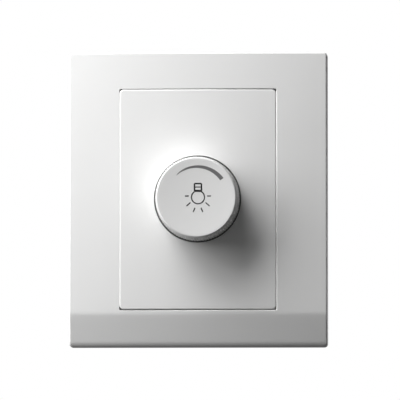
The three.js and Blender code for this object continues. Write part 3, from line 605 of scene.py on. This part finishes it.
def knob_cap():
    sides = 160
    radius = cap_hi.x
    crest = radius - CAP_RIM
    front = cap_lo.y + CAP_LIFT
    plug = radius - CAP_PLUG
    rings = [circle(0.01 * MM, cap_hi.y, sides), circle(plug - CHAMFER, cap_hi.y, sides)]
    rings.append(circle(plug, cap_hi.y - CHAMFER, sides))
    rings.append(circle(plug, cap_lo.y + CAP_FLANGE, sides))
    rings.append(circle(radius - 0.05 * MM, cap_lo.y + CAP_FLANGE, sides))
    rings.append(circle(radius, cap_lo.y + CAP_FLANGE - 0.05 * MM, sides))
    for a in arc(8):
        inset = CAP_RIM * (1 - math.cos(a))
        fall = CAP_RIM * (1 - math.sin(a))
        rings.append(circle(radius - inset, front + fall, sides))
    for i in range(1, 24):
        r = crest * (1 - i / 24)
        rings.append(circle(r, dish_y(r), sides))
    rings.append(circle(0.01 * MM, dish_y(0), sides))
    return new_piece("knob_face", *ring_mesh(rings, cap_ends=True))


place(knob_body(), "knob", "knob_plastic", "knob_body")
place(knob_cap(), "knob", "knob_plastic", "knob_cap")


# ------------------------------------------------------------------ the print on the knob
PRINT_THICK = 0.02 * MM


def printed(outline_pairs):
    """A thin raised strip on the dished face; each pair is the strip's two edges, as (x, z)."""
    def point(x, z, lift):
        return x, dish_y(math.hypot(x, z)) - lift, z

    rings = []
    for (ax, az), (bx, bz) in outline_pairs:
        rings.append([
            point(ax, az, PRINT_THICK),
            point(bx, bz, PRINT_THICK),
            point(bx, bz, -PRINT_THICK),
            point(ax, az, -PRINT_THICK),
        ])
    return ring_mesh(rings, cap_ends=True)


def stroke(points, width):
    """A line of constant width through points, as edge pairs."""
    pairs = []
    for i, p in enumerate(points):
        before = Vector(points[max(i - 1, 0)])
        after = Vector(points[min(i + 1, len(points) - 1)])
        along = (after - before).normalized()
        side = Vector((-along.y, along.x)) * width / 2
        here = Vector(p)
        pairs.append((tuple(here + side), tuple(here - side)))
    return pairs


def line(a, b, width):
    steps = 6
    points = [tuple(Vector(a).lerp(Vector(b), i / steps)) for i in range(steps + 1)]
    return printed(stroke(points, width))


def rising_arc():
    """The tapering arc over the lamp: a point at the left that swells to a blunt end at the right."""
    face = cap_hi.x
    inner = 0.73 * face
    start, end = -42, 55
    pairs = []
    steps = 48
    for i in range(steps + 1):
        t = i / steps
        a = math.radians(start + (end - start) * t)
        outer = inner + 0.1 * face * t**0.6 + 0.04 * MM
        inside = (inner * math.sin(a), inner * math.cos(a))
        outside = (outer * math.sin(a), outer * math.cos(a))
        pairs.append((inside, outside))
    return new_piece("print_arc", *printed(pairs))


def lamp_symbol():
    """A generic hanging lamp: a cap with a thread line, a round bulb and six rays."""
    cx = 0.6 * MM
    thin = 0.38 * MM
    bulb = 2.15 * MM
    cap_half, cap_low, cap_top = 1.15 * MM, 2.1 * MM, 4.5 * MM
    parts = [
        line((cx - cap_half, cap_top), (cx + cap_half, cap_top), thin * 1.3),
        line((cx - cap_half, cap_low), (cx + cap_half, cap_low), thin * 1.9),
        line((cx - cap_half, cap_low), (cx - cap_half, cap_top), thin * 1.3),
        line((cx + cap_half, cap_low), (cx + cap_half, cap_top), thin * 1.3),
        line((cx - cap_half, 3.35 * MM), (cx + cap_half, 3.35 * MM), thin * 0.8),
    ]
    circle_points = []
    for i in range(49):
        a = math.radians(28 + (332 - 28) * i / 48)
        circle_points.append((cx + bulb * math.sin(a), bulb * math.cos(a)))
    parts.append(printed(stroke(circle_points, thin)))
    for side in (-1, 1):
        for (ax, az), (bx, bz) in (
            ((3.05, 0.4), (4.3, 0.4)),
            ((2.5, -1.75), (3.8, -2.9)),
            ((1.0, -3.5), (1.6, -4.9)),
        ):
            start = (cx + side * ax * MM, az * MM)
            end = (cx + side * bx * MM, bz * MM)
            parts.append(line(start, end, thin))
    return new_piece("print_lamp", *merged(*parts))


place(rising_arc(), "knob", "knob_plastic", material=ARC_INK)
place(lamp_symbol(), "knob", "knob_plastic", material=LINE_INK)


# ------------------------------------------------------------------ screws
RECESS_ARM = 0.55  # reach and half width of the cross recess, as shares of the head's radius
RECESS_HALF = 0.14
# the pan head's outline: (share of the head's radius, share of its height), from its top down
PAN_PROFILE = ((0.62, 0.06), (0.78, 0.12), (0.9, 0.27), (0.97, 0.48), (1, 0.72), (1, 0.95), (0.97, 1))


def cross_outline(angle):
    """Distance from the axis to the edge of a cross recess, for a head of radius 1."""
    off = abs((angle + math.pi / 4) % (math.pi / 2) - math.pi / 4)
    if math.tan(off) * RECESS_ARM <= RECESS_HALF:
        return RECESS_ARM / math.cos(off)
    return RECESS_HALF / math.sin(off)


def screw(node, axis, head_first, core, head_height, pitch):
    """A threaded screw with a pan head and a cross recess, in the box of a CAD node.

    Axis is 1 for y and 2 for z. With head_first the head is at the axis's low end. Core is the
    thread's outer radius.
    """
    lo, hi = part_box(node)
    across = 0
    head = (hi[across] - lo[across]) / 2
    other = 3 - axis
    length = hi[axis] - lo[axis]
    corner = math.degrees(math.atan(RECESS_HALF / RECESS_ARM))
    fan = [90 * arm + step for arm in range(4) for step in (-corner, 0, corner, 28, 45, 62)]
    angles = [math.radians(step) for step in sorted(a % 360 for a in fan)]

    def point(radius, angle, depth):
        spot = [0.0, 0.0, 0.0]
        spot[across] = (lo[across] + hi[across]) / 2 + radius * math.cos(angle)
        spot[other] = (lo[other] + hi[other]) / 2 + radius * math.sin(angle)
        spot[axis] = lo[axis] + depth if head_first else hi[axis] - depth
        return tuple(spot)

    def ring(radius, depth):
        return [point(radius, a, depth) for a in angles]

    def cross(scale, depth):
        return [point(head * scale * cross_outline(a), a, depth) for a in angles]

    def thread(depth):
        """The ring at one depth: a helix of rounded crests, run out at the head and the point."""
        fade = min(1, (depth - head_height) / (2 * pitch), (length - depth) / (2 * pitch))
        points = []
        for a in angles:
            phase = (depth / pitch - a / (2 * math.pi)) % 1
            groove = 0.61 * pitch * (1 - abs(2 * phase - 1)) ** 0.8
            points.append(point(core - min(groove, 0.3 * core) * max(fade, 0.15), a, depth))
        return points

    rings = [ring(0.004 * head, 0.62 * head_height), cross(0.5, 0.62 * head_height)]
    rings += [cross(0.97, 0.08 * head_height), cross(1, 0.05 * head_height)]
    for share, drop in PAN_PROFILE:
        rings.append(ring(head * share, head_height * drop))
    turns = (length - head_height) / pitch
    steps = int(turns * 6)
    rings += [thread(head_height + (length - head_height - 0.1 * MM) * i / steps) for i in range(steps + 1)]
    rings.append(ring(core * 0.6, length))
    return new_piece(f"{node}_turned", *ring_mesh(rings, cap_ends=True), sharp_degrees=50)


# (CAD node, axis, head first, core, head height, pitch), with the last three in millimetres
SCREWS = [(f"wall_screw_{side}", 1, True, 2, 2.2, 0.7) for side in ("left", "right")]
SCREWS += [(f"housing_screw_{number}", 1, False, 1.25, 1.7, 0.8) for number in (1, 2, 3, 4)]
SCREWS += [(f"board_screw_{number}", 1, True, 1, 1.4, 0.7) for number in (1, 2)]
SCREWS += [("triac_screw", 2, True, 1.3, 1.5, 0.5)]
for name, axis, head_first, core, head_height, pitch in SCREWS:
    turned = screw(name, axis, head_first, core * MM, head_height * MM, pitch * MM)
    place(turned, "base", "zinc_steel", name)


# ------------------------------------------------------------------ choke
WIRE_RADIUS = 0.45 * MM
WIRE_PITCH = 0.95 * MM


def choke_winding():
    """One enamelled wire, wound up the core in a first layer and back down in a second."""
    lo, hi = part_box("choke_winding")
    centre_x, centre_y = (lo.x + hi.x) / 2, (lo.y + hi.y) / 2
    per_turn = 24
    first_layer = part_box("choke_core")[1].x - centre_x + FIT + WIRE_RADIUS
    second_layer = hi.x - centre_x - WIRE_RADIUS
    steps = int((hi.z - lo.z - 2 * WIRE_RADIUS) / WIRE_PITCH * per_turn)
    climb = [WIRE_PITCH * i / per_turn for i in range(steps + 1)]
    path = [(first_layer, rise) for rise in climb] + [(second_layer, rise) for rise in reversed(climb)]
    rings = []
    for i, (layer, rise) in enumerate(path):
        turned = 2 * math.pi * i / per_turn
        ring = []
        for round_wire in arc(8, 0, 360)[:-1]:
            radius = layer + WIRE_RADIUS * math.cos(round_wire)
            z = lo.z + WIRE_RADIUS * (1 + math.sin(round_wire)) + rise
            ring.append((centre_x + radius * math.cos(turned), centre_y + radius * math.sin(turned), z))
        rings.append(ring)
    return new_piece("choke_wire", *ring_mesh(rings, cap_ends=True), sharp_degrees=60)


place(choke_winding(), "base", "enamelled_copper", "choke_winding")


# ------------------------------------------------------------------ finishes of the CAD nodes
SMALL_ROUND = 0.12 * MM
ROUNDING = {
    "housing_plastic": 0.5 * MM,
    "carrier_plastic": 0.2 * MM,
    "capacitor_case": 0.5 * MM,
    "tinned_lead": 0.08 * MM,
}
# nodes whose small facets leave no room for a rounding of this width, so theirs is clamped
TIGHT = ("pot_shaft", "resistor_1", "resistor_2", "diac", "switch_case")


def smoothing():
    """A modifier's node group: joins the faces' corners and keeps sharp only edges over 35 degrees."""
    group = bpy.data.node_groups.new("smooth_sides", "GeometryNodeTree")
    group.interface.new_socket("Geometry", in_out="INPUT", socket_type="NodeSocketGeometry")
    group.interface.new_socket("Geometry", in_out="OUTPUT", socket_type="NodeSocketGeometry")
    nodes, links = group.nodes, group.links
    start = nodes.new("NodeGroupInput")
    end = nodes.new("NodeGroupOutput")
    weld = nodes.new("GeometryNodeMergeByDistance")
    weld.inputs["Distance"].default_value = 1e-6
    normals = nodes.new("GeometryNodeSetMeshNormal")
    angle = nodes.new("GeometryNodeInputMeshEdgeAngle")
    over = nodes.new("FunctionNodeCompare")
    over.inputs["B"].default_value = math.radians(35)
    links.new(angle.outputs["Unsigned Angle"], over.inputs["A"])
    links.new(over.outputs["Result"], normals.inputs["Edge Sharpness"])
    links.new(start.outputs[0], weld.inputs["Geometry"])
    links.new(weld.outputs["Geometry"], normals.inputs["Mesh"])
    links.new(normals.outputs["Mesh"], end.inputs[0])
    return group


SMOOTH_SIDES = smoothing()
slot_of = {s["node"]: s["material_slot"] for s in frame["record"]["subparts"]}
for node, cad in frame["nodes"].items():
    if cad.hide_render:
        continue
    cad.data.materials.clear()
    cad.data.materials.append(FINISH[slot_of[node]])
    cad.modifiers.new("smooth_sides", "NODES").node_group = SMOOTH_SIDES
    rounding = cad.modifiers.new("rounding", "BEVEL")
    rounding.width = ROUNDING.get(slot_of[node], SMALL_ROUND)
    rounding.segments = 2
    rounding.limit_method = "ANGLE"
    rounding.angle_limit = math.radians(40)
    rounding.use_clamp_overlap = node in TIGHT
    even = cad.modifiers.new("flat_faces", "WEIGHTED_NORMAL")
    even.keep_sharp = True


# ------------------------------------------------------------------ stage: floor, light, camera
def floor():
    """A plain pale floor, bright in itself, that throws no light onto the object."""
    half = 4
    z = plate_lo.z - 0.16
    piece = new_piece(
        "floor",
        [(-half, -half, z), (half, -half, z), (half, half, z), (-half, half, z)],
        [(0, 1, 2, 3)],
    )
    material, tree, principled, at = shader("floor_paper")
    tint = mix_colour(tree, noise(tree, at, 3, 2), (0.86, 0.86, 0.86), (0.89, 0.89, 0.89))
    tree.links.new(tint, principled.inputs["Base Color"])
    principled.inputs["Roughness"].default_value = 0.8
    principled.inputs["Emission Color"].default_value = (1, 1, 1, 1)
    principled.inputs["Emission Strength"].default_value = 0.85
    piece.data.materials.append(material)
    piece.visible_diffuse = False
    piece.visible_glossy = False


def soft_light(name, distance, rise, bearing, size, power):
    """A round lamp aimed at the plate.

    Rise is its angle in front of the plate's plane, in degrees. Bearing is its direction in that
    plane, anticlockwise from the right. Size is its diameter in metres and power is in watts.
    """
    up, round_to = math.radians(rise), math.radians(bearing)
    centre = Vector((0, plate_lo.y, 0))
    flat = math.cos(up)
    outward = Vector((flat * math.cos(round_to), -math.sin(up), flat * math.sin(round_to)))
    light = bpy.data.lights.new(name, "AREA")
    light.shape = "DISK"
    light.size = size
    light.energy = power
    lamp = bpy.data.objects.new(name, light)
    lamp.location = centre + outward * distance
    lamp.visible_camera = False
    lamp.rotation_euler = outward.to_track_quat("Z", "Y").to_euler()
    bpy.context.scene.collection.objects.link(lamp)


def studio():
    """Soft lamps low over the plate from the left to the top, two behind it, and a little fill."""
    floor()
    soft_light("left", 0.6, 22, 162, 0.36, 1.85)
    soft_light("upper_left", 0.5, 22, 130, 0.42, 2.25)
    soft_light("top", 0.5, 16, 115, 0.40, 2.5)
    soft_light("low_left", 0.5, 2, 200, 0.2, 0.8)
    soft_light("rear", 0.34, -52, 131, 0.2, 1.0)
    soft_light("right_rear", 0.5, -38, -8, 0.25, 0.7)
    world = bpy.data.worlds.new("studio")
    bpy.context.scene.world = world
    world.use_nodes = True
    nodes, links = world.node_tree.nodes, world.node_tree.links
    seen = nodes["Background"]
    seen.inputs["Color"].default_value = (1, 1, 1, 1)
    seen.inputs["Strength"].default_value = 1.0
    fill = nodes.new("ShaderNodeBackground")
    fill.inputs["Color"].default_value = (1, 1, 1, 1)
    fill.inputs["Strength"].default_value = 0.08
    path = nodes.new("ShaderNodeLightPath")
    mix = nodes.new("ShaderNodeMixShader")
    links.new(path.outputs["Is Camera Ray"], mix.inputs["Fac"])
    links.new(fill.outputs["Background"], mix.inputs[1])
    links.new(seen.outputs["Background"], mix.inputs[2])
    links.new(mix.outputs["Shader"], nodes["World Output"].inputs["Surface"])
    scene = bpy.context.scene
    scene.view_settings.view_transform = "Standard"
    scene.view_settings.look = "None"


def camera():
    """A long lens, a little to the right of the plate and a little below it, looking up."""
    distance = 1.8
    seen_width = 0.1333  # of the plate's plane, in metres
    yaw, pitch = math.radians(2.6), math.radians(-3.3)
    target = Vector((0.00035, 0, 0.00025))
    back = Vector((math.sin(yaw) * math.cos(pitch), -math.cos(yaw) * math.cos(pitch), math.sin(pitch)))
    data = bpy.data.cameras.new("camera")
    data.sensor_width = 36
    data.lens = 36 * distance / seen_width
    eye = bpy.data.objects.new("camera", data)
    eye.location = target + back * distance
    eye.rotation_euler = (-back).to_track_quat("-Z", "Y").to_euler()
    bpy.context.scene.collection.objects.link(eye)
    bpy.context.scene.camera = eye


studio()
camera()
